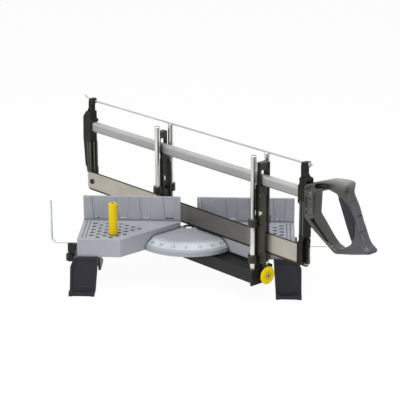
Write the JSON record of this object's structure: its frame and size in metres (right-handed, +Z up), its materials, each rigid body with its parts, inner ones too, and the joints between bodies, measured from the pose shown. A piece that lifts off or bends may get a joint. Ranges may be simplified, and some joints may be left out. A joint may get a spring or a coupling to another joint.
{
  "type": "mitre saw",
  "caption": "Manual mitre saw: a framed blade slides in guides on posts of a swinging arm, over a cast table with fences, legs, a stop rod and a cam peg.",
  "frame": {"origin": "on the bench, where the swing axis of the arm meets it; the axis lies in the plane of the fence faces", "axes": "+X along the fence to the user's right, +Y away from the user through the fence, +Z up"},
  "size_m": [0.5356, 0.5032, 0.2595],
  "materials": {
    "base_casting": "cast, fine satin grey",
    "scale_band": "bright satin",
    "bright_steel": "bright",
    "black_casting": "black, half matt",
    "black_plastic": "black, matt",
    "dark_screws": "blackened steel",
    "yellow_plastic": "yellow, half gloss",
    "chrome_posts": "polished",
    "guide_moulding": "black, glass filled",
    "blade_steel": "ground steel",
    "tube_grey": "silver grey",
    "end_casting": "dark grey casting",
    "handle_plastic": "dark grey, fine grain",
    "soft_insert": "soft, matt"
  },
  "bodies": {
    "base": {"base_casting": "base_casting", "scale_band": "scale_band", "pivot_bolt": "bright_steel", "pivot_nut": "bright_steel", "right_leg": "black_casting", "left_leg": "black_casting", "leg_screws": "dark_screws", "right_clip": "black_plastic", "left_clip": "black_plastic", "clip_screws": "dark_screws"},
    "arm": {"swing_arm": "black_casting", "front_post_right": "chrome_posts", "front_post_left": "chrome_posts", "rear_post_right": "chrome_posts", "rear_post_left": "chrome_posts"},
    "lock": {"lock_knob": "yellow_plastic", "lock_spindle": "bright_steel", "knob_screw": "bright_steel"},
    "pad": {"lock_pad": "black_plastic"},
    "front_carriage": {"front_guide": "guide_moulding", "front_guide_screws": "dark_screws"},
    "rear_carriage": {"rear_guide": "guide_moulding", "rear_guide_screws": "dark_screws"},
    "saw": {"blade": "blade_steel", "frame_tube": "tube_grey", "heel_end": "end_casting", "toe_end": "end_casting", "blade_screws": "dark_screws", "tension_rod": "bright_steel", "tension_nut": "bright_steel", "handle": "handle_plastic", "grip_insert": "soft_insert", "handle_screws": "bright_steel"},
    "peg": {"cam_peg": "yellow_plastic"},
    "stop": {"stop_rod": "bright_steel"},
    "right_thumb": {"right_clip_knob": "black_plastic"},
    "left_thumb": {"left_clip_knob": "black_plastic"}
  },
  "joints": [
    {"name": "arm_swing", "type": "hinge", "parent": "base", "child": "arm", "pos_m": [0, 0, 0.053], "axis": [0, 0, 1], "range_deg": [-90, 0]},
    {"name": "lock_turn", "type": "hinge", "parent": "arm", "child": "lock", "pos_m": [0.13081, -0.13081, 0.043], "axis": [0.7071, -0.7071, 0], "range_deg": [0, 360]},
    {"name": "pad_slide", "type": "slide", "parent": "arm", "child": "pad", "axis": [0.7071, -0.7071, 0], "range_m": [0, 0.0021]},
    {"name": "front_lift", "type": "slide", "parent": "arm", "child": "front_carriage", "axis": [0, 0, 1], "range_m": [-0.002, 0.1]},
    {"name": "rear_lift", "type": "slide", "parent": "arm", "child": "rear_carriage", "axis": [0, 0, 1], "range_m": [-0.002, 0.1]},
    {"name": "saw_stroke", "type": "slide", "parent": "front_carriage", "child": "saw", "axis": [0.7071, -0.7071, 0], "range_m": [-0.055, 0.155]},
    {"name": "peg_turn", "type": "hinge", "parent": "base", "child": "peg", "pos_m": [-0.1255, -0.0727, 0.088], "axis": [0, 0, 1], "range_deg": [-180, 180]},
    {"name": "stop_slide", "type": "slide", "parent": "base", "child": "stop", "axis": [1, 0, 0], "range_m": [-0.04, 0.02]},
    {"name": "right_thumb_turn", "type": "hinge", "parent": "base", "child": "right_thumb", "pos_m": [0.2, -0.036, 0.04], "axis": [0, 0, 1], "range_deg": [-90, 0]},
    {"name": "left_thumb_turn", "type": "hinge", "parent": "base", "child": "left_thumb", "pos_m": [-0.2, -0.036, 0.04], "axis": [0, 0, 1], "range_deg": [0, 90]}
  ],
  "couplings": [
    {"joint": "pad_slide", "follows": "lock_turn", "m_per_rad": 0.00031831},
    {"joint": "rear_lift", "follows": "front_lift", "ratio": 1}
  ]
}
